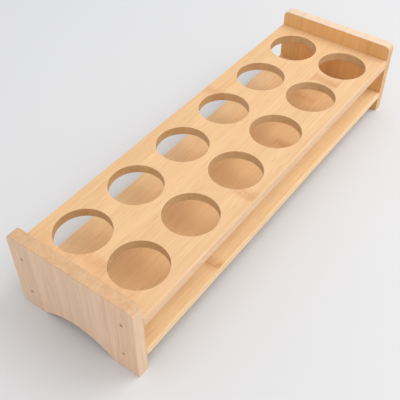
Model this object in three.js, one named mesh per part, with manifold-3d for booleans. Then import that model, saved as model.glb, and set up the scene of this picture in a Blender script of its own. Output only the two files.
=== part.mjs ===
// A two-row egg rack for a kitchen counter. A drilled egg board and a plain lower shelf run between
// two end panels, which stand on two feet each. Small steel nails, driven through the end panels
// into the ends of both boards, hold the rack together.
// Units are millimetres. +X runs along the rack, -Y is its front and +Z is up. The origin is at the
// middle of the footprint, on the surface that the rack stands on.

import * as THREE from 'three';
import { mergeVertices } from 'three/addons/utils/BufferGeometryUtils.js';
import Module from 'manifold-3d';

// Both boards
const boardLength = 329;
const boardWidth = 104.4;
const boardEasing = 0.8;

// Egg board
const eggBoardThickness = 8.4;
const eggBoardTop = 54;
const eggHoleDiameter = 40;
const eggHolesPerRow = 6;
const eggHolePitch = 54;
const eggRowSpacing = 48;
const eggHoleEasing = 0.5;
const eggHoleUndersideEasing = 1.4;

// Lower shelf
const shelfThickness = 6.4;
const shelfTop = 20.5;

// End panels
const panelThickness = 9;
const panelHeight = 67.3;
const panelCornerRadius = 5;
const panelEasing = 0.5;
const archHalfWidth = 30;
const archRise = 10.8;

// Nails, one near each corner of both boards at each end
const nailLength = 22;
const nailShankRadius = 0.6;
const nailHeadRadius = 0.9;
const nailHeadHeight = 0.8;
const nailNeckHeight = 0.8;
const nailPointLength = 2.4;
const nailHeadDepth = 0.4;
const eggBoardNailInset = 10.2;
const shelfNailInset = 11.8;
const nailDrop = 1;
const nailClearance = 0.2;

// Fineness of the round faces
const eggHoleSides = 40;
const nailSides = 12;
const outlineArcSteps = 14;
const boardEasingSteps = 2;
const panelEasingSteps = 2;

// How far a cutter reaches past the face that it opens
const cutterOverrun = 1;

const eggBoardMiddle = eggBoardTop - eggBoardThickness / 2;
const shelfMiddle = shelfTop - shelfThickness / 2;
const eggBoardNailOffset = boardWidth / 2 - eggBoardNailInset;
const shelfNailOffset = boardWidth / 2 - shelfNailInset;
const rightAngle = Math.PI / 2;

const wasm = await Module();
wasm.setup();

// Materials: bamboo that darkens a little from the top board to the shelf, and plain steel wire.
const eggBoardBamboo = new THREE.MeshStandardMaterial({ color: 0xeec694, roughness: 0.55, metalness: 0 });
const shelfBamboo = new THREE.MeshStandardMaterial({ color: 0xe3b57f, roughness: 0.55, metalness: 0 });
const panelBamboo = new THREE.MeshStandardMaterial({ color: 0xe2bd92, roughness: 0.58, metalness: 0 });
const nailSteel = new THREE.MeshStandardMaterial({ color: 0x6b655e, roughness: 0.45, metalness: 1 });

// A closed geometry as a solid that can be joined and cut.
function toSolid(geometry) {
  const bare = geometry.clone();
  bare.deleteAttribute('normal');
  bare.deleteAttribute('uv');
  const merged = mergeVertices(bare);
  return new wasm.Manifold(new wasm.Mesh({
    numProp: 3,
    vertProperties: new Float32Array(merged.attributes.position.array),
    triVerts: new Uint32Array(merged.index.array),
  }));
}

// A solid as a geometry with flat faces.
function toGeometry(solid) {
  const mesh = solid.getMesh();
  const indexed = new THREE.BufferGeometry();
  indexed.setAttribute('position', new THREE.BufferAttribute(mesh.vertProperties, mesh.numProp));
  indexed.setIndex(new THREE.BufferAttribute(mesh.triVerts, 1));
  const flat = indexed.toNonIndexed();
  flat.computeVertexNormals();
  return flat;
}

// The first solid with each cutter taken out of it.
function cut(geometry, cutters) {
  const solid = cutters.reduce((rest, cutter) => rest.subtract(toSolid(cutter)), toSolid(geometry));
  return toGeometry(solid);
}

// Turns an outline drawn in Y and Z, and extruded along Z, so that it runs along X instead.
function turnAlongX(geometry) {
  const alongY = new THREE.Vector3(0, 1, 0);
  const alongZ = new THREE.Vector3(0, 0, 1);
  const alongX = new THREE.Vector3(1, 0, 0);
  return geometry.applyMatrix4(new THREE.Matrix4().makeBasis(alongY, alongZ, alongX));
}

// A board's cross-section: a flat rectangle with its four long edges eased.
function boardSection(thickness) {
  const y = boardWidth / 2 - boardEasing;
  const z = thickness / 2 - boardEasing;
  const section = new THREE.Shape();
  section.absarc(y, -z, boardEasing, -rightAngle, 0);
  section.absarc(y, z, boardEasing, 0, rightAngle);
  section.absarc(-y, z, boardEasing, rightAngle, 2 * rightAngle);
  section.absarc(-y, -z, boardEasing, 2 * rightAngle, 3 * rightAngle);
  return section;
}

// A plain board with square ends, centred on its own middle.
function boardBlank(thickness) {
  const options = { depth: boardLength, bevelEnabled: false, curveSegments: boardEasingSteps };
  const blank = new THREE.ExtrudeGeometry(boardSection(thickness), options);
  return turnAlongX(blank).translate(-boardLength / 2, 0, 0);
}

// A nail's outline from its point, on the axis at -nailLength, to its head at 0, grown by a gap.
function nailProfile(gap, reach) {
  const shank = nailShankRadius + gap;
  const head = nailHeadRadius + gap;
  return [
    new THREE.Vector2(0, -nailLength - gap),
    new THREE.Vector2(shank, -nailLength + nailPointLength - gap),
    new THREE.Vector2(shank, -nailHeadHeight - nailNeckHeight - gap),
    new THREE.Vector2(head, -nailHeadHeight - gap),
    new THREE.Vector2(head, reach),
    new THREE.Vector2(0, reach),
  ];
}

// A nail along X, with its head at the origin and its point towards -X.
function nailGeometry(gap = 0, reach = 0) {
  return new THREE.LatheGeometry(nailProfile(gap, reach), nailSides).rotateZ(-rightAngle);
}

// The hole that one nail leaves in an end panel and in a board's end.
function nailHole() {
  return nailGeometry(nailClearance, nailHeadDepth + cutterOverrun);
}

// How far a nail's head lies outside a board's end face.
const nailHeadX = panelThickness - nailHeadDepth;

// The four nail holes of a board, two in each end, in the board's own frame. Each lies a little
// below the middle of the board's thickness.
function boardNailHoles(nailOffset) {
  const holes = [];
  for (const end of [-1, 1]) {
    for (const side of [-1, 1]) {
      const hole = nailHole();
      if (end < 0) hole.rotateZ(Math.PI);
      hole.translate(end * (boardLength / 2 + nailHeadX), side * nailOffset, -nailDrop);
      holes.push(hole);
    }
  }
  return holes;
}

// A plug the shape of one egg hole: a cylinder that flares at both rims by their easings.
function eggHolePlug() {
  const radius = eggHoleDiameter / 2;
  const half = eggBoardThickness / 2;
  const topFlare = eggHoleEasing + cutterOverrun;
  const undersideFlare = eggHoleUndersideEasing + cutterOverrun;
  const profile = [
    new THREE.Vector2(0, -half - cutterOverrun),
    new THREE.Vector2(radius + undersideFlare, -half - cutterOverrun),
    new THREE.Vector2(radius, -half + eggHoleUndersideEasing),
    new THREE.Vector2(radius, half - eggHoleEasing),
    new THREE.Vector2(radius + topFlare, half + cutterOverrun),
    new THREE.Vector2(0, half + cutterOverrun),
  ];
  return new THREE.LatheGeometry(profile, eggHoleSides).rotateX(rightAngle);
}

// The plugs of both rows of egg holes, in the board's own frame.
function eggHolePlugs() {
  const plugs = [];
  for (let column = 0; column < eggHolesPerRow; column++) {
    const x = (column - (eggHolesPerRow - 1) / 2) * eggHolePitch;
    for (const row of [-1, 1]) {
      plugs.push(eggHolePlug().translate(x, row * eggRowSpacing / 2, 0));
    }
  }
  return plugs;
}

function eggBoard() {
  const cutters = [...eggHolePlugs(), ...boardNailHoles(eggBoardNailOffset)];
  const geometry = cut(boardBlank(eggBoardThickness), cutters);
  const mesh = new THREE.Mesh(geometry, eggBoardBamboo);
  mesh.name = 'egg_board';
  mesh.position.z = eggBoardMiddle;
  return mesh;
}

function lowerShelf() {
  const geometry = cut(boardBlank(shelfThickness), boardNailHoles(shelfNailOffset));
  const mesh = new THREE.Mesh(geometry, shelfBamboo);
  mesh.name = 'lower_shelf';
  mesh.position.z = shelfMiddle;
  return mesh;
}

// An end panel's outline: round top corners, and a low arch between two flat feet.
function panelOutline() {
  const side = boardWidth / 2;
  const corner = panelCornerRadius;
  const archRadius = (archHalfWidth ** 2 + archRise ** 2) / (2 * archRise);
  const archCentre = archRise - archRadius;
  const archSweep = Math.asin(archHalfWidth / archRadius);
  const outline = new THREE.Shape();
  outline.moveTo(-side, 0);
  outline.lineTo(-archHalfWidth, 0);
  outline.absarc(0, archCentre, archRadius, rightAngle + archSweep, rightAngle - archSweep, true);
  outline.lineTo(side, 0);
  outline.absarc(side - corner, panelHeight - corner, corner, 0, rightAngle);
  outline.absarc(corner - side, panelHeight - corner, corner, rightAngle, 2 * rightAngle);
  return outline;
}

// An end panel with every edge eased, from its inner face at X = 0 out to its thickness.
function panelBlank() {
  const blank = new THREE.ExtrudeGeometry(panelOutline(), {
    depth: panelThickness - 2 * panelEasing,
    bevelThickness: panelEasing,
    bevelSize: panelEasing,
    bevelOffset: -panelEasing,
    bevelSegments: panelEasingSteps,
    curveSegments: outlineArcSteps,
  });
  return turnAlongX(blank).translate(panelEasing, 0, 0);
}

// Where an end's four nails go, in the end's own frame.
function nailPlaces() {
  const rows = [
    { board: 'egg_board', offset: eggBoardNailOffset, z: eggBoardMiddle - nailDrop },
    { board: 'shelf', offset: shelfNailOffset, z: shelfMiddle - nailDrop },
  ];
  return rows.flatMap(({ board, offset, z }) => [-offset, offset].map((y) => (
    { board, position: new THREE.Vector3(nailHeadX, y, z) }
  )));
}

function endPanel(end) {
  const holes = nailPlaces().map(({ position }) => nailHole().translate(...position));
  const mesh = new THREE.Mesh(cut(panelBlank(), holes), panelBamboo);
  mesh.name = `${end}_end_panel`;
  return mesh;
}

function nail(name, position) {
  const mesh = new THREE.Mesh(nailGeometry(), nailSteel);
  mesh.name = name;
  mesh.position.copy(position);
  return mesh;
}

// One end of the rack: its panel and four nails. The left end is the right end turned half round.
function rackEnd(end) {
  const direction = end === 'left' ? -1 : 1;
  const group = new THREE.Group();
  group.add(endPanel(end));
  for (const { board, position } of nailPlaces()) {
    const row = direction * position.y < 0 ? 'front' : 'back';
    group.add(nail(`${end}_${board}_nail_${row}`, position));
  }
  group.position.x = direction * boardLength / 2;
  group.rotation.z = direction < 0 ? Math.PI : 0;
  return group;
}

const eggRack = new THREE.Group();
eggRack.add(eggBoard(), lowerShelf(), rackEnd('left'), rackEnd('right'));

export default eggRack;
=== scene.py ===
"""A bamboo egg rack: a drilled egg board and a plain shelf nailed between two end panels."""
import math

import bmesh
import bpy
from mathutils import Euler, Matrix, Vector


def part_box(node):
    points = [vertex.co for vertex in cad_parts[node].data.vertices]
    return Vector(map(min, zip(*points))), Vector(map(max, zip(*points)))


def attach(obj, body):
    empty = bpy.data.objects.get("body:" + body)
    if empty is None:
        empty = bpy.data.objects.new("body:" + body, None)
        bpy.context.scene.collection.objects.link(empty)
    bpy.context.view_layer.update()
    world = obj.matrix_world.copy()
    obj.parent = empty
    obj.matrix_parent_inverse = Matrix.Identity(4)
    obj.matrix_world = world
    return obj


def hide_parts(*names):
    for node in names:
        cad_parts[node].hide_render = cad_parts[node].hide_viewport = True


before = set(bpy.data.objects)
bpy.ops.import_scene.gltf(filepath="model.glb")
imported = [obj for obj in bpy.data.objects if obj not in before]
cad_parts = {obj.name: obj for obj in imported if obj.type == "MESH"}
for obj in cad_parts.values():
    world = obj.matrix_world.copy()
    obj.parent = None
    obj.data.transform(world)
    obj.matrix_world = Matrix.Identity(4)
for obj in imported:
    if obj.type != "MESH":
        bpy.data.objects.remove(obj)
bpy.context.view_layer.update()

MM = 0.001

# ---------------------------------------------------------------- sizes of the rack, in millimetres
HOLE_PITCH = 54.0
ROW_SPACING = 48.0
HOLE_RADIUS = 20.0
HOLES_PER_ROW = 6
HOLE_EASING = 0.5
HOLE_UNDERSIDE_EASING = 1.4
HOLE_QUARTER = 28            # segments in a quarter of an egg hole

BOARD_EASING = 0.8
BOARD_END_EASING = 0.3
EDGE_BAND = 1.2              # how far the handled, worn band runs in from an eased edge

PANEL_CORNER = 5.0
PANEL_EASING = 0.5
ARCH_HALF_WIDTH = 30.0
ARCH_RISE = 10.8

NAIL_LENGTH = 22.0
NAIL_SHANK = 0.6
NAIL_HEAD = 0.9
NAIL_HEAD_HEIGHT = 0.8
NAIL_NECK = 0.8
NAIL_POINT = 2.4
NAIL_DEPTH = 0.4             # the head is driven this far below the panel's face
EGG_BOARD_NAIL_INSET = 10.2
SHELF_NAIL_INSET = 11.8
NAIL_DROP = 1.0              # the nails lie this far below the middle of a board
NAIL_CLEARANCE = 0.2
NAIL_SIDES = 32
NAIL_DISH = 0.35             # how far the wood is dished round a nail's head
NAIL_DISH_DEPTH = 0.18
NAIL_CUTTER_OVERRUN = 1.0
NAIL_SURROUND = 3.0          # the face of a panel counts as unworn this near a nail
NAIL_RINGS = 4
EASING_STEPS = 5
ARCH_STEPS = 40
CORNER_STEPS = 16
TOUCH = 1e-3                 # points nearer than this count as being in one place

# ---------------------------------------------------------------- where the CAD puts each piece
BOARD_LOW, BOARD_HIGH = (Vector(corner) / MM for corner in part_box("egg_board"))
SHELF_LOW, SHELF_HIGH = (Vector(corner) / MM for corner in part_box("lower_shelf"))
PANEL_LOW, PANEL_HIGH = (Vector(corner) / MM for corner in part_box("right_end_panel"))
BOARD_MIDDLE = (BOARD_LOW.z + BOARD_HIGH.z) / 2
SHELF_MIDDLE = (SHELF_LOW.z + SHELF_HIGH.z) / 2


# ---------------------------------------------------------------- mesh helpers
def new_object(name, mesh_builder):
    """A mesh object in metres from a bmesh in millimetres."""
    for vertex in mesh_builder.verts:
        vertex.co *= MM
    mesh = bpy.data.meshes.new(name)
    mesh_builder.to_mesh(mesh)
    mesh_builder.free()
    piece = bpy.data.objects.new(name, mesh)
    bpy.context.scene.collection.objects.link(piece)
    return piece


def add_ring(builder, points):
    return [builder.verts.new(point) for point in points]


def join_rings(builder, first, second, closed=True):
    count = len(first)
    for i in range(count if closed else count - 1):
        j = (i + 1) % count
        builder.faces.new((first[i], first[j], second[j], second[i]))


def close_mesh(builder, tolerance=1e-4):
    bmesh.ops.remove_doubles(builder, verts=builder.verts, dist=tolerance)
    bmesh.ops.recalc_face_normals(builder, faces=builder.faces)


def smooth_by_angle(piece, angle=40.0):
    """Smooth shading that stays flat on the flats and crisp at the corners."""
    mesh = piece.data
    mesh.shade_smooth()
    mesh.set_sharp_from_angle(angle=math.radians(angle))
    weighting = piece.modifiers.new("flat faces stay flat", "WEIGHTED_NORMAL")
    weighting.keep_sharp = True
    weighting.weight = 100


def cut_away(piece, cutters):
    """Takes every cutter out of a piece, then removes the cutters."""
    for cutter in cutters:
        boolean = piece.modifiers.new("hole", "BOOLEAN")
        boolean.operation = "DIFFERENCE"
        boolean.solver = "EXACT"
        boolean.object = cutter
    bpy.context.view_layer.update()
    evaluated = piece.evaluated_get(bpy.context.evaluated_depsgraph_get())
    mesh = bpy.data.meshes.new_from_object(evaluated)
    piece.modifiers.clear()
    old = piece.data
    piece.data = mesh
    mesh.name = old.name
    bpy.data.meshes.remove(old)
    for cutter in cutters:
        cutter_mesh = cutter.data
        bpy.data.objects.remove(cutter)
        bpy.data.meshes.remove(cutter_mesh)


def mark(piece, name, value):
    """Stores a number from 0 to 1 on each vertex, worked out from its place in millimetres."""
    layer = piece.data.attributes.new(name, "FLOAT", "POINT")
    for vertex in piece.data.vertices:
        layer.data[vertex.index].value = min(max(value(vertex.co / MM), 0.0), 1.0)


# ---------------------------------------------------------------- boards
def board_profile(low, high):
    """One long side's section, from the top face's edge round to the bottom face's edge."""
    y = high.y - BOARD_EASING
    top, bottom = high.z, low.z
    points = [(y - EDGE_BAND, top), (y, top)]
    for step in range(1, EASING_STEPS + 1):
        turn = math.pi / 2 * step / EASING_STEPS
        points.append((y + BOARD_EASING * math.sin(turn), top - BOARD_EASING * (1 - math.cos(turn))))
    for step in range(EASING_STEPS):
        turn = math.pi / 2 * step / EASING_STEPS
        points.append((y + BOARD_EASING * math.cos(turn), bottom + BOARD_EASING * (1 - math.sin(turn))))
    points.append((y, bottom))
    points.append((y - EDGE_BAND, bottom))
    return points


def add_long_sides(builder, stations, profile):
    for side in (-1, 1):
        rings = [add_ring(builder, [(x, side * y, z) for y, z in profile]) for x in stations]
        for first, second in zip(rings, rings[1:]):
            join_rings(builder, first, second, closed=False)


def add_ends(builder, low, high):
    """Closes both ends, with a fine easing where they meet the end panels."""
    middle = (low + high) / 2
    half = (high - low) / 2
    for end in (-1, 1):
        x = end * (half.x - BOARD_END_EASING)
        open_edges = [e for e in builder.edges if e.is_boundary]
        rim = [e for e in open_edges if all(abs(v.co.x - x) < TOUCH for v in e.verts)]
        made = bmesh.ops.extrude_edge_only(builder, edges=rim)["geom"]
        for vertex in (item for item in made if isinstance(item, bmesh.types.BMVert)):
            vertex.co.x = end * half.x
            vertex.co.y *= (half.y - BOARD_END_EASING) / half.y
            vertex.co.z = middle.z + (vertex.co.z - middle.z) * (half.z - BOARD_END_EASING) / half.z
        outer = [item for item in made if isinstance(item, bmesh.types.BMEdge)]
        bmesh.ops.contextual_create(builder, geom=outer)


def side_points(low, high, count):
    return [low + (high - low) * i / count for i in range(count)]


def cell_border(x0, x1, y0, y1):
    """The points round a cell of the board, one for each segment of its egg hole."""
    n = HOLE_QUARTER
    border = [(x1, y) for y in side_points(y0, y1, n)]
    border += [(x, y1) for x in side_points(x1, x0, n)]
    border += [(x0, y) for y in side_points(y1, y0, n)]
    border += [(x, y0) for x in side_points(x0, x1, n)]
    return border


def add_hole_cell(builder, centre, borders, low, high):
    """One cell of the board: its top and bottom faces and the wall and rims of its egg hole."""
    sides = 4 * HOLE_QUARTER
    angles = [-math.pi / 4 + 2 * math.pi * i / sides for i in range(sides)]

    def circle(radius, z):
        return [(centre[0] + radius * math.cos(a), centre[1] + radius * math.sin(a), z) for a in angles]

    rim = HOLE_RADIUS + HOLE_EASING
    rings = [[(x, y, high.z) for x, y in borders], circle(rim + EDGE_BAND, high.z)]
    for step in range(EASING_STEPS + 1):
        turn = math.pi / 2 * step / EASING_STEPS
        z = high.z - HOLE_EASING * (1 - math.cos(turn))
        rings.append(circle(rim - HOLE_EASING * math.sin(turn), z))
    rings.append(circle(HOLE_RADIUS, low.z + HOLE_UNDERSIDE_EASING))
    rings.append(circle(HOLE_RADIUS + HOLE_UNDERSIDE_EASING, low.z))
    rings.append(circle(HOLE_RADIUS + HOLE_UNDERSIDE_EASING + EDGE_BAND, low.z))
    rings.append([(x, y, low.z) for x, y in borders])
    made = [add_ring(builder, ring) for ring in rings]
    for first, second in zip(made, made[1:]):
        join_rings(builder, first, second)


def nail_places(end):
    """The four nails of one end: the board it goes into, its row and its middle."""
    boards = (
        ("egg_board", EGG_BOARD_NAIL_INSET, BOARD_MIDDLE),
        ("shelf", SHELF_NAIL_INSET, SHELF_MIDDLE),
    )
    for board, in_from_edge, z in boards:
        for row, side in (("front", -1), ("back", 1)):
            y = side * (BOARD_HIGH.y - in_from_edge)
            yield f"{board}_nail_{row}", Vector((end * (PANEL_HIGH.x - NAIL_DEPTH), y, z - NAIL_DROP))


def lathe(name, profile, place, end, sides=NAIL_SIDES):
    """Turns a profile of (radius, depth) about X. Depth runs inwards from the place."""
    builder = bmesh.new()
    rings = []
    for radius, depth in profile:
        x = place.x - end * depth
        if radius == 0:
            rings.append([builder.verts.new((x, place.y, place.z))] * sides)
            continue
        ring = []
        for i in range(sides):
            turn = 2 * math.pi * i / sides
            y = place.y + radius * math.cos(turn)
            z = place.z + radius * math.sin(turn)
            ring.append(builder.verts.new((x, y, z)))
        rings.append(ring)
    for first, second in zip(rings, rings[1:]):
        for i in range(sides):
            j = (i + 1) % sides
            corners = [first[i], first[j], second[j], second[i]]
            builder.faces.new(list(dict.fromkeys(corners)))
    bmesh.ops.recalc_face_normals(builder, faces=builder.faces)
    return new_object(name, builder)


def nail_hole_cutters():
    """The holes that the eight nails leave, each dished a little at the panel's face."""
    gap = NAIL_CLEARANCE
    profile = [
        (0, -NAIL_DEPTH - NAIL_CUTTER_OVERRUN),
        (NAIL_HEAD + gap + NAIL_DISH, -NAIL_DEPTH - NAIL_CUTTER_OVERRUN),
        (NAIL_HEAD + gap + NAIL_DISH, -NAIL_DEPTH),
        (NAIL_HEAD + gap, -NAIL_DEPTH + NAIL_DISH_DEPTH),
        (NAIL_HEAD + gap, NAIL_HEAD_HEIGHT + gap),
        (NAIL_SHANK + gap, NAIL_HEAD_HEIGHT + NAIL_NECK + gap),
        (NAIL_SHANK + gap, NAIL_LENGTH - NAIL_POINT + gap),
        (0, NAIL_LENGTH + gap),
    ]
    cutters = []
    for end in (-1, 1):
        for name, place in nail_places(end):
            cutters.append(lathe("cutter_" + name, profile, place, end))
    return cutters


def build_board(name, low, high, with_holes):
    builder = bmesh.new()
    inner_y = high.y - BOARD_EASING - EDGE_BAND
    end_x = high.x - BOARD_END_EASING
    middles = [(i - (HOLES_PER_ROW - 1) / 2) * HOLE_PITCH for i in range(HOLES_PER_ROW)]
    splits = [-end_x] + [(a + b) / 2 for a, b in zip(middles, middles[1:])] + [end_x]
    stations = []
    for x0, x1 in zip(splits, splits[1:]):
        stations += side_points(x0, x1, HOLE_QUARTER)
    stations.append(end_x)
    if with_holes:
        for middle, x0, x1 in zip(middles, splits, splits[1:]):
            for y0, y1 in ((-inner_y, 0), (0, inner_y)):
                row = ROW_SPACING / 2 * (1 if y1 > 0 else -1)
                add_hole_cell(builder, (middle, row), cell_border(x0, x1, y0, y1), low, high)
    else:
        for z in (low.z, high.z):
            front = add_ring(builder, [(x, -inner_y, z) for x in stations])
            back = add_ring(builder, [(x, inner_y, z) for x in stations])
            join_rings(builder, front, back, closed=False)
    add_long_sides(builder, stations, board_profile(low, high))
    close_mesh(builder)
    add_ends(builder, low, high)
    close_mesh(builder)
    piece = new_object(name, builder)
    cut_away(piece, nail_hole_cutters())

    def from_hole(point):
        """How far a point is from the axis of the nearest egg hole."""
        x = abs(point.x) % HOLE_PITCH - HOLE_PITCH / 2
        return math.hypot(x, abs(point.y) - ROW_SPACING / 2)

    rim = HOLE_RADIUS + HOLE_EASING

    def wear(point):
        worn = (abs(point.y) - high.y + BOARD_EASING + EDGE_BAND) / EDGE_BAND
        if with_holes and point.z > high.z - HOLE_EASING * 0.9:
            worn = max(worn, (rim + EDGE_BAND - from_hole(point)) / EDGE_BAND)
        return worn

    def cut_face(point):
        if with_holes and point.z > low.z + TOUCH and from_hole(point) < rim + TOUCH:
            return (high.z - point.z) / HOLE_EASING
        return 0.0

    mark(piece, "edge", wear)
    mark(piece, "cut", cut_face)
    smooth_by_angle(piece)
    return piece


# ---------------------------------------------------------------- end panels
def panel_outline():
    """An end panel's outline in Y and Z, anticlockwise from its front foot."""
    side = PANEL_HIGH.y
    top = PANEL_HIGH.z
    corner = PANEL_CORNER
    radius = (ARCH_HALF_WIDTH ** 2 + ARCH_RISE ** 2) / (2 * ARCH_RISE)
    sweep = math.asin(ARCH_HALF_WIDTH / radius)
    points = []
    for step in range(ARCH_STEPS + 1):
        turn = -sweep + 2 * sweep * step / ARCH_STEPS
        points.append((radius * math.sin(turn), ARCH_RISE - radius + radius * math.cos(turn)))
    points.append((side, 0.0))
    for step in range(CORNER_STEPS + 1):
        turn = math.pi / 2 * step / CORNER_STEPS
        points.append((side - corner + corner * math.cos(turn), top - corner + corner * math.sin(turn)))
    for step in range(CORNER_STEPS + 1):
        turn = math.pi / 2 * (1 + step / CORNER_STEPS)
        points.append((corner - side + corner * math.cos(turn), top - corner + corner * math.sin(turn)))
    points.append((-side, 0.0))
    return points


def inset(points, distance):
    """Moves an outline inwards by a distance, with mitred corners."""
    moved = []
    count = len(points)
    for i in range(count):
        before, here, after = (Vector(points[j % count]) for j in (i - 1, i, i + 1))
        first = (here - before).normalized()
        second = (after - here).normalized()
        normal_a = Vector((-first.y, first.x))
        normal_b = Vector((-second.y, second.x))
        shift = (normal_a + normal_b) * (distance / (1 + normal_a.dot(normal_b)))
        moved.append(here + shift)
    return moved


def build_panel(name, end):
    builder = bmesh.new()
    outline = panel_outline()
    inner, outer = PANEL_LOW.x, PANEL_HIGH.x
    sections = [(PANEL_EASING + EDGE_BAND, inner)]
    for step in range(EASING_STEPS + 1):
        turn = math.pi / 2 * step / EASING_STEPS
        x = inner + PANEL_EASING * (1 - math.cos(turn))
        sections.append((PANEL_EASING * (1 - math.sin(turn)), x))
    for step in range(EASING_STEPS + 1):
        turn = math.pi / 2 * step / EASING_STEPS
        x = outer - PANEL_EASING * (1 - math.sin(turn))
        sections.append((PANEL_EASING * (1 - math.cos(turn)), x))
    sections.append((PANEL_EASING + EDGE_BAND, outer))
    rings = []
    for distance, x in sections:
        ring = [(end * x, p.x, p.y) for p in inset(outline, distance)]
        rings.append(add_ring(builder, ring))
    for first, second in zip(rings, rings[1:]):
        join_rings(builder, first, second)
    builder.faces.new(rings[0])
    builder.faces.new(rings[-1])
    close_mesh(builder)
    piece = new_object(name, builder)
    cut_away(piece, nail_hole_cutters())
    guard = set()
    for p in inset(outline, PANEL_EASING + EDGE_BAND):
        guard.add((round(p.x, 3), round(p.y, 3)))

    def on_face(point):
        return min(abs(abs(point.x) - inner), abs(abs(point.x) - outer)) < TOUCH

    def near_nail(point):
        places = [at for _, at in nail_places(end)]
        return any(math.hypot(point.y - at.y, point.z - at.z) < NAIL_SURROUND for at in places)

    def wear(point):
        if near_nail(point) or (round(point.y, 3), round(point.z, 3)) in guard:
            return 0.0
        return 0.7 if on_face(point) else 1.0

    def end_grain(point):
        if on_face(point) or near_nail(point):
            return 0.0
        if point.z > PANEL_HIGH.z / 2:
            return (point.z - PANEL_HIGH.z + PANEL_CORNER) / PANEL_CORNER
        return 1.0 if abs(point.y) < PANEL_HIGH.y - PANEL_EASING else 0.0

    mark(piece, "edge", wear)
    mark(piece, "cut", end_grain)
    smooth_by_angle(piece)
    return piece


# ---------------------------------------------------------------- nails
def build_nail(name, place, end):
    """A driven wire nail: a flat head with a softened rim, grip rings, a shank and a point."""
    profile = [
        (0, 0.02),
        (NAIL_HEAD * 0.55, 0.0),
        (NAIL_HEAD * 0.86, 0.03),
        (NAIL_HEAD * 0.97, 0.10),
        (NAIL_HEAD, 0.22),
        (NAIL_HEAD, NAIL_HEAD_HEIGHT),
        (NAIL_SHANK, NAIL_HEAD_HEIGHT + NAIL_NECK),
    ]
    depth = NAIL_HEAD_HEIGHT + NAIL_NECK + 0.6
    for ring in range(NAIL_RINGS):
        profile += [(NAIL_SHANK, depth), (NAIL_SHANK * 0.9, depth + 0.12), (NAIL_SHANK, depth + 0.24)]
        depth += 0.7
    profile += [
        (NAIL_SHANK, NAIL_LENGTH - NAIL_POINT),
        (NAIL_SHANK * 0.72, NAIL_LENGTH - NAIL_POINT * 0.6),
        (NAIL_SHANK * 0.3, NAIL_LENGTH - NAIL_POINT * 0.2),
        (0, NAIL_LENGTH),
    ]
    piece = lathe(name, profile, place, end)
    smooth_by_angle(piece, 50.0)
    return piece


# ---------------------------------------------------------------- materials
class Shader:
    """Adds and joins the nodes of one material."""

    def __init__(self, name):
        self.material = bpy.data.materials.new(name)
        self.material.use_nodes = True
        self.tree = self.material.node_tree
        self.tree.nodes.clear()
        self.surface = self.add("ShaderNodeBsdfPrincipled")
        output = self.add("ShaderNodeOutputMaterial")
        self.join(self.surface.outputs[0], output.inputs[0])

    def add(self, kind, **settings):
        node = self.tree.nodes.new(kind)
        for key, value in settings.items():
            setattr(node, key, value)
        return node

    def join(self, source, target):
        if isinstance(source, bpy.types.NodeSocket):
            self.tree.links.new(source, target)
        else:
            target.default_value = source

    def math(self, operation, first, second=0.0, third=0.0):
        node = self.add("ShaderNodeMath", operation=operation)
        for value, socket in zip((first, second, third), node.inputs):
            self.join(value, socket)
        return node.outputs[0]

    def span(self, value, low, high, start=0.0, end=1.0):
        """Takes low..high to start..end along a smooth step, and holds the ends."""
        node = self.add("ShaderNodeMapRange", interpolation_type="SMOOTHSTEP")
        for item, socket in zip((value, low, high, start, end), node.inputs):
            self.join(item, socket)
        return node.outputs[0]

    def mix(self, factor, first, second, blend="MIX"):
        node = self.add("ShaderNodeMix", data_type="RGBA", blend_type=blend)
        self.join(factor, node.inputs["Factor"])
        self.join(first, node.inputs[6])
        self.join(second, node.inputs[7])
        return node.outputs[2]

    def stain(self, factor, colour, tint):
        """A colour multiplied by a tint, as far as a factor says."""
        return self.mix(factor, colour, self.mix(1.0, colour, tint, "MULTIPLY"))

    def combine(self, x, y, z):
        node = self.add("ShaderNodeCombineXYZ")
        for value, socket in zip((x, y, z), node.inputs):
            self.join(value, socket)
        return node.outputs[0]

    def noise(self, vector, scale, detail=2.0, roughness=0.5, distortion=0.0):
        node = self.add("ShaderNodeTexNoise")
        self.join(vector, node.inputs["Vector"])
        node.inputs["Scale"].default_value = scale
        node.inputs["Detail"].default_value = detail
        node.inputs["Roughness"].default_value = roughness
        node.inputs["Distortion"].default_value = distortion
        return node.outputs["Fac"]

    def millimetres(self):
        """The object's own coordinates in millimetres, as three sockets."""
        place = self.add("ShaderNodeTexCoord")
        scale = self.add("ShaderNodeVectorMath", operation="SCALE")
        self.join(place.outputs["Object"], scale.inputs[0])
        scale.inputs["Scale"].default_value = 1 / MM
        split = self.add("ShaderNodeSeparateXYZ")
        self.join(scale.outputs[0], split.inputs[0])
        return split.outputs


# Tints and strengths of the bamboo's details.
# Painted light: the tint that paints a board's long sides paler and bluer.
LONG_SIDE_PAINTED_LIGHT_TINT = (1.08, 1.08, 1.16, 1)
WARM_STRIP_TINT = (1.0, 0.95, 0.86, 1)
NODE_TINT = (0.86, 0.72, 0.64, 1)
NODE_LINE_TINT = (0.74, 0.56, 0.44, 1)
BUNDLE_TINT = (0.52, 0.36, 0.22, 1)
GLUE_TINT = (0.66, 0.52, 0.38, 1)
RUBBED_COLOUR = (0.96, 0.86, 0.70, 1)
# Painted shade: how much darker the far panel's front strip is painted.
FAR_FRONT_PAINTED_SHADE = 0.12
NODE_REACH = 8.0             # how far a cane node's smudge spreads along the grain, in millimetres
NODE_CORE = 0.5
BUMP_DEPTH = 0.08            # millimetres


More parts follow.
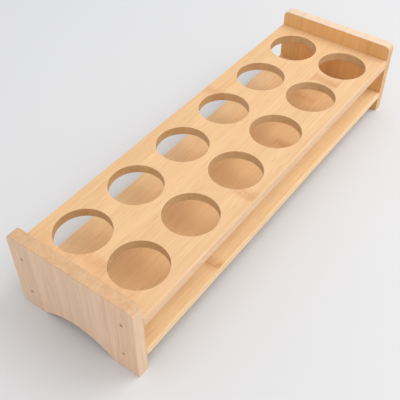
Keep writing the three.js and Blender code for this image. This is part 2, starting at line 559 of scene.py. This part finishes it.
def bamboo(name, tones, grain, seam, strip, seed, marks=(), tint=0.05, far_tones=None, far_edge=None):
    """Laminated bamboo. Grain is "X" or "Z"; strips lie side by side along Y.

    tones are a face's light and dark, then a cut face's light and dark; far_tones take their place
    where X is above 0 and are partly painted light; their front strip, below far_edge in Y, is
    painted darker, as painted shade. seam is the Y of one glue line and strip the width of a strip.
    Each mark is (middle along the grain, lowest Y, highest Y, strength) of a node of the cane.
    """
    s = Shader(name)
    x, y, z = s.millimetres()
    along, depth = (x, z) if grain == "X" else (z, x)

    # The strip that a point lies in, and numbers that are its own.
    place = s.math("DIVIDE", s.math("SUBTRACT", y, seam), strip)
    index = s.math("FLOOR", place)
    within = s.math("SUBTRACT", place, index)
    own = s.add("ShaderNodeTexWhiteNoise", noise_dimensions="1D")
    s.join(s.math("ADD", index, seed), own.inputs["W"])
    own_parts = s.add("ShaderNodeSeparateColor")
    s.join(own.outputs["Color"], own_parts.inputs[0])
    own_a, own_b, own_c = own_parts.outputs

    # The nodes of the cane: wide smudges across a strip, with fine cross lines in them.
    crook_place = s.combine(s.math("MULTIPLY", along, 0.02), y, s.math("MULTIPLY", index, 7.3))
    crook = s.noise(crook_place, 0.25, 2.0)
    crooked = s.math("MULTIPLY_ADD", s.math("SUBTRACT", crook, 0.5), 6.0, along)
    cross = s.noise(s.combine(crooked, s.math("MULTIPLY", y, 0.12), index), 0.8, 3.0, 0.65)
    band = 0.0
    for middle, low, high, strength in marks:
        inside = s.math("MULTIPLY", s.span(y, low - 0.4, low + 0.4), s.span(y, high + 0.4, high - 0.4))
        away = s.math("ABSOLUTE", s.math("SUBTRACT", crooked, middle))
        smudge = s.math("MULTIPLY", s.span(away, NODE_REACH, NODE_CORE), strength)
        band = s.math("MAXIMUM", band, s.math("MULTIPLY", inside, smudge))
    ridge = s.math("MULTIPLY", band, s.span(cross, 0.42, 0.66))

    # Fibres run along the grain, bend a little at a node, and don't cross a glue line.
    bend = s.math("SUBTRACT", s.noise(s.combine(along, y, depth), 0.16, 1.0), 0.5)
    bend = s.math("MULTIPLY", bend, 1.6)
    bent = s.math("ADD", y, s.math("MULTIPLY", bend, s.math("ADD", band, 0.25)))
    shifted = s.math("MULTIPLY_ADD", own_a, 173.0, along)
    own_depth = s.math("MULTIPLY_ADD", own_b, 61.0, depth)
    streak_place = s.combine(s.math("MULTIPLY", shifted, 0.035), bent, own_depth)
    fibre_place = s.combine(s.math("MULTIPLY", shifted, 0.018), bent, own_depth)
    broad = s.noise(streak_place, 0.16, 2.0, 0.55)
    streaks = s.noise(streak_place, 0.75, 4.0, 0.6)
    fibres = s.noise(fibre_place, 3.6, 3.0, 0.6)

    # Dark bundles of fibre: dots on end grain, and long thin dashes on a face.
    bundle_place = s.combine(s.math("MULTIPLY", shifted, 0.045), bent, own_depth)
    cells = s.add("ShaderNodeTexVoronoi")
    s.join(bundle_place, cells.inputs["Vector"])
    cells.inputs["Scale"].default_value = 0.85
    bundles = s.span(cells.outputs["Distance"], 0.24, 0.10)
    bundles = s.math("MULTIPLY", bundles, s.span(s.noise(streak_place, 0.4, 1.0), 0.42, 0.62))

    # Colour
    cut = s.add("ShaderNodeAttribute", attribute_name="cut").outputs["Fac"]
    # Partly painted light: far_tones carry painted warm bounce light and a painted highlight.
    if far_tones:
        far_end = s.math("GREATER_THAN", x, 0.0)
        tones = [s.mix(far_end, near, far) for near, far in zip(tones, far_tones)]
    light = s.mix(cut, tones[0], tones[2])
    dark = s.mix(cut, tones[1], tones[3])
    shade = s.math("MULTIPLY_ADD", streaks, 0.95, s.math("MULTIPLY", broad, 0.55))
    shade = s.math("MULTIPLY_ADD", fibres, 0.55, shade)
    colour = s.mix(s.span(shade, 0.68, 1.36), light, dark)
    strip_value = s.math("MULTIPLY_ADD", own_c, 2 * tint, 1 - tint)
    strip_value = s.math("MULTIPLY_ADD", s.math("SUBTRACT", within, 0.5), tint * 0.8, strip_value)
    # Painted shade: the faces of the far panel's front strip are painted darker.
    if far_tones:
        front_strip = s.math("MULTIPLY", far_end, s.math("LESS_THAN", y, far_edge))
        front_strip = s.math("MULTIPLY", front_strip, s.math("SUBTRACT", 1.0, cut))
        strip_value = s.math("MULTIPLY_ADD", front_strip, -FAR_FRONT_PAINTED_SHADE, strip_value)
    tinted = s.mix(1.0, colour, s.combine(strip_value, strip_value, strip_value), "MULTIPLY")
    if grain == "X":
        # Painted light: a board's long sides are painted paler and a little bluer.
        facing = s.add("ShaderNodeSeparateXYZ")
        s.join(s.add("ShaderNodeTexCoord").outputs["Normal"], facing.inputs[0])
        side = s.span(s.math("ABSOLUTE", facing.outputs["Y"]), 0.7, 0.9)
        side = s.math("MULTIPLY", side, s.math("SUBTRACT", 1.0, cut))
        tinted = s.stain(side, tinted, LONG_SIDE_PAINTED_LIGHT_TINT)
    warm = s.stain(s.math("MULTIPLY", own_b, 0.5), tinted, WARM_STRIP_TINT)
    browned = s.stain(s.math("MULTIPLY", band, 0.8), warm, NODE_TINT)
    browned = s.stain(s.math("MULTIPLY", ridge, 0.6), browned, NODE_LINE_TINT)
    flecked = s.stain(s.math("MULTIPLY", bundles, 0.42), browned, BUNDLE_TINT)
    gap = s.math("MULTIPLY", s.math("MINIMUM", within, s.math("SUBTRACT", 1.0, within)), strip)
    glue = s.span(gap, 0.30, 0.05)
    glued = s.stain(s.math("MULTIPLY", glue, 0.22), flecked, GLUE_TINT)

    # Eased edges are rubbed paler, unevenly.
    edge = s.add("ShaderNodeAttribute", attribute_name="edge").outputs["Fac"]
    patch = s.noise(s.combine(x, y, z), 0.35, 3.0, 0.6)
    rubbed = s.math("MULTIPLY", s.span(edge, 0.25, 1.0), s.span(patch, 0.35, 0.65))
    worn = s.mix(s.math("MULTIPLY", rubbed, 0.2), glued, s.mix(0.5, glued, RUBBED_COLOUR))
    s.join(worn, s.surface.inputs["Base Color"])

    # Satin finish, a little rougher in the fibres and smoother where it is handled.
    rough = s.math("MULTIPLY_ADD", streaks, 0.16, 0.44)
    rough = s.math("MULTIPLY_ADD", bundles, 0.12, rough)
    rough = s.math("MULTIPLY_ADD", rubbed, -0.08, rough)
    s.join(rough, s.surface.inputs["Roughness"])
    s.surface.inputs["Specular IOR Level"].default_value = 0.35

    height = s.math("MULTIPLY_ADD", fibres, 0.45, s.math("MULTIPLY", streaks, 0.5))
    height = s.math("MULTIPLY_ADD", bundles, -0.6, height)
    height = s.math("MULTIPLY_ADD", glue, -0.5, height)
    height = s.math("MULTIPLY_ADD", ridge, 0.4, height)
    bump = s.add("ShaderNodeBump")
    bump.inputs["Strength"].default_value = 0.45
    bump.inputs["Distance"].default_value = BUMP_DEPTH * MM
    s.join(height, bump.inputs["Height"])
    s.join(bump.outputs[0], s.surface.inputs["Normal"])
    return s.material


def steel(name):
    """Dull wire nail heads, browned by the finish that was wiped over them."""
    s = Shader(name)
    x, y, z = s.millimetres()
    place = s.combine(x, y, z)
    stain = s.noise(place, 1.6, 4.0, 0.65)
    scratch = s.noise(s.combine(x, s.math("MULTIPLY", y, 9.0), z), 1.4, 3.0, 0.7)
    colour = s.mix(s.span(stain, 0.35, 0.65), (0.27, 0.21, 0.16, 1), (0.12, 0.09, 0.065, 1))
    s.join(colour, s.surface.inputs["Base Color"])
    s.surface.inputs["Metallic"].default_value = 0.85
    s.join(s.math("MULTIPLY_ADD", scratch, 0.35, 0.35), s.surface.inputs["Roughness"])
    bump = s.add("ShaderNodeBump")
    bump.inputs["Strength"].default_value = 0.4
    bump.inputs["Distance"].default_value = 0.03 * MM
    s.join(scratch, bump.inputs["Height"])
    s.join(bump.outputs[0], s.surface.inputs["Normal"])
    return s.material


def pale_floor(name):
    s = Shader(name)
    x, y, z = s.millimetres()
    mottle = s.noise(s.combine(x, y, z), 0.004, 2.0)
    s.join(s.mix(mottle, (0.69, 0.695, 0.71, 1), (0.71, 0.715, 0.73, 1)), s.surface.inputs["Base Color"])
    s.surface.inputs["Roughness"].default_value = 0.75
    s.surface.inputs["Specular IOR Level"].default_value = 0.2
    return s.material


# The glue lines of the boards, and the nodes of the cane that show in them.
BOARD_SEAM = 12.0
BOARD_STRIP = 23.6
BOARD_MARKS = (
    (-43.0, -51.5, -35.2, 0.75),
    (107.0, -35.2, -11.6, 0.9),
    (40.0, 35.6, 51.5, 0.45),
    (-149.0, -11.6, 12.0, 0.5),
)
SHELF_MARKS = (
    (-84.0, -51.5, -35.2, 0.9),
    (52.0, -35.2, -11.6, 0.6),
    (-20.0, 12.0, 35.6, 0.6),
    (118.0, -11.6, 12.0, 0.6),
)
PANEL_SEAM = 11.8
PANEL_STRIP = 21.0

# Light and dark of a face, then light and dark of a cut face.
BOARD_TONES = (
    (0.82, 0.54, 0.305, 1),
    (0.72, 0.445, 0.23, 1),
    (0.64, 0.42, 0.22, 1),
    (0.52, 0.32, 0.155, 1),
)
# Painted light: the shelf's face tones are the egg board's, painted paler as light under the board.
SHELF_TONES_AND_PAINTED_LIGHT = (
    (0.90, 0.635, 0.36, 1),
    (0.80, 0.535, 0.275, 1),
    (0.64, 0.42, 0.22, 1),
    (0.52, 0.32, 0.155, 1),
)
LEFT_PANEL_TONES = (
    (0.84, 0.605, 0.43, 1),
    (0.72, 0.485, 0.33, 1),
    (0.68, 0.425, 0.235, 1),
    (0.59, 0.35, 0.185, 1),
)
# Partly painted light: the far panel's faces get painted warm bounce, its cut faces a painted highlight.
RIGHT_PANEL_TONES_AND_PAINTED_LIGHT = (
    (0.87, 0.52, 0.23, 1),
    (0.76, 0.415, 0.155, 1),
    (0.84, 0.64, 0.49, 1),
    (0.74, 0.54, 0.40, 1),
)

board_bamboo = bamboo(
    "egg_board_bamboo", BOARD_TONES, "X", BOARD_SEAM, BOARD_STRIP, 3.0, BOARD_MARKS, 0.03,
)
shelf_bamboo = bamboo(
    "shelf_bamboo", SHELF_TONES_AND_PAINTED_LIGHT, "X", BOARD_SEAM, BOARD_STRIP, 17.0, SHELF_MARKS, 0.03,
)
panel_bamboo = bamboo(
    "end_panel_bamboo", LEFT_PANEL_TONES, "Z", PANEL_SEAM, PANEL_STRIP, 31.0,
    far_tones=RIGHT_PANEL_TONES_AND_PAINTED_LIGHT, far_edge=PANEL_SEAM - 2 * PANEL_STRIP,
)
nail_steel = steel("nail_steel")


# ---------------------------------------------------------------- the rack
def settle(piece, node, material):
    piece.data.materials.clear()
    piece.data.materials.append(material)
    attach(piece, "root")
    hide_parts(node)


egg_board = build_board("drilled_egg_board", BOARD_LOW, BOARD_HIGH, True)
settle(egg_board, "egg_board", board_bamboo)
shelf = build_board("plain_shelf", SHELF_LOW, SHELF_HIGH, False)
settle(shelf, "lower_shelf", shelf_bamboo)
for end_name, end in (("left", -1), ("right", 1)):
    panel = build_panel(f"{end_name}_arched_panel", end)
    settle(panel, f"{end_name}_end_panel", panel_bamboo)
    for nail_name, place in nail_places(end):
        nail = build_nail(f"driven_{end_name}_{nail_name}", place, end)
        settle(nail, f"{end_name}_{nail_name}", nail_steel)


# ---------------------------------------------------------------- floor, light and camera
FLOOR_RADIUS = 6000.0        # millimetres
FLOOR_SIDES = 96

# Each lamp shines on a place in metres, from an azimuth and an elevation in degrees. The other
# numbers are its distance and width in metres, its power in watts and its colour.
MIDDLE = Vector((0, 0, 0.03))
BEFORE_RACK = Vector((0.05, -0.15, 0))
LAMPS = (
    ("front", BEFORE_RACK, -85, 64, 1.4, 1.4, 3.4, (1.0, 0.99, 0.97)),
    ("key", BEFORE_RACK, -30, 58, 1.2, 1.0, 6.0, (1.0, 0.99, 0.97)),
    ("side", MIDDLE, -170, 25, 1.8, 1.6, 3.0, (0.93, 0.97, 1.0)),
    ("overhead", MIDDLE, 120, 84, 2.0, 1.2, 1.2, (1.0, 0.99, 0.98)),
)
SURROUNDINGS_COLOUR = (1.0, 1.0, 1.0, 1)
SURROUNDINGS_STRENGTH = 0.74

CAMERA_LENS = 58.9           # millimetres
CAMERA_SENSOR = 36.0         # millimetres
CAMERA_CLIP = (0.01, 50.0)   # metres
CAMERA_AZIMUTH = -53.73      # degrees, turned from looking along +Y
CAMERA_ELEVATION = 45.56     # degrees
CAMERA_DISTANCE = 448.3      # millimetres from the point that it is aimed at
CAMERA_AIM = (-66.9, -21.3)  # millimetres, on the top of the egg board


def build_floor():
    builder = bmesh.new()
    bmesh.ops.create_circle(builder, cap_ends=True, segments=FLOOR_SIDES, radius=FLOOR_RADIUS)
    floor = new_object("floor", builder)
    floor.data.materials.append(pale_floor("pale_floor"))


def add_area_light(name, target, azimuth, elevation, distance, size, power, colour):
    data = bpy.data.lights.new(name, "AREA")
    data.shape = "DISK"
    data.size = size
    data.energy = power
    data.color = colour
    azimuth, elevation = math.radians(azimuth), math.radians(elevation)
    lamp = bpy.data.objects.new(name, data)
    away = Vector((
        math.cos(elevation) * math.cos(azimuth),
        math.cos(elevation) * math.sin(azimuth),
        math.sin(elevation),
    ))
    lamp.location = target + away * distance
    lamp.rotation_euler = away.to_track_quat("Z", "Y").to_euler()
    bpy.context.scene.collection.objects.link(lamp)


def add_surroundings(colour, strength):
    world = bpy.data.worlds.new("studio")
    world.use_nodes = True
    background = world.node_tree.nodes["Background"]
    background.inputs["Color"].default_value = colour
    background.inputs["Strength"].default_value = strength
    bpy.context.scene.world = world


def add_camera():
    data = bpy.data.cameras.new("camera")
    data.lens = CAMERA_LENS
    data.sensor_width = CAMERA_SENSOR
    data.clip_start, data.clip_end = CAMERA_CLIP
    camera = bpy.data.objects.new("camera", data)
    azimuth, elevation = math.radians(CAMERA_AZIMUTH), math.radians(CAMERA_ELEVATION)
    aim = Vector((*CAMERA_AIM, BOARD_HIGH.z)) * MM
    back = Vector((
        math.sin(azimuth) * math.cos(elevation),
        -math.cos(azimuth) * math.cos(elevation),
        math.sin(elevation),
    ))
    camera.location = aim + back * CAMERA_DISTANCE * MM
    camera.rotation_euler = Euler((math.pi / 2 - elevation, 0, azimuth))
    bpy.context.scene.collection.objects.link(camera)
    bpy.context.scene.camera = camera


build_floor()
add_surroundings(SURROUNDINGS_COLOUR, SURROUNDINGS_STRENGTH)
for lamp in LAMPS:
    add_area_light(*lamp)
add_camera()
bpy.context.scene.view_settings.view_transform = "Standard"
